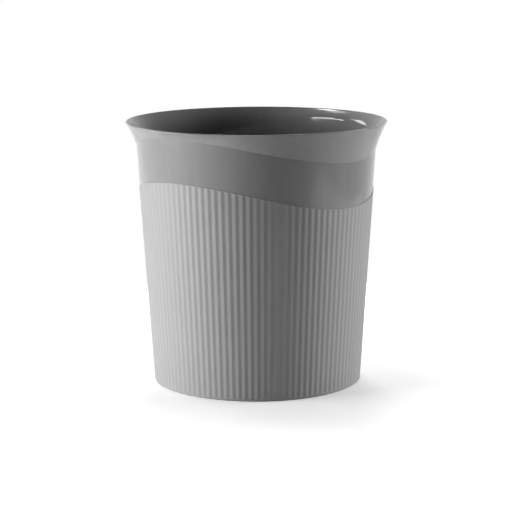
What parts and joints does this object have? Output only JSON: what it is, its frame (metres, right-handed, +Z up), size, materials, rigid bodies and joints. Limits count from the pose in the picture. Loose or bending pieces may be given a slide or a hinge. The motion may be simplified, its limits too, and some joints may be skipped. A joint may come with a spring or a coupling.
{
  "type": "wastebasket",
  "caption": "Round open office wastebasket with a flared glossy rim over a smooth band, a wavy lip line and a vertically fluted matt wall.",
  "frame": {"origin": "centre of the base, on the surface that the basket stands on", "axes": "+Z up along the basket's axis; -Y towards the front, the side the picture shows; +X to the right"},
  "size_m": [0.283, 0.283, 0.285],
  "materials": {
    "matt_grey": "neutral mid grey, fine matt texture from the mould",
    "gloss_grey": "a neutral grey a shade darker, from a mirror-polished mould surface"
  },
  "bodies": {
    "root": {"fluted_tub": "matt_grey", "gloss_collar": "gloss_grey"}
  },
  "joints": []
}
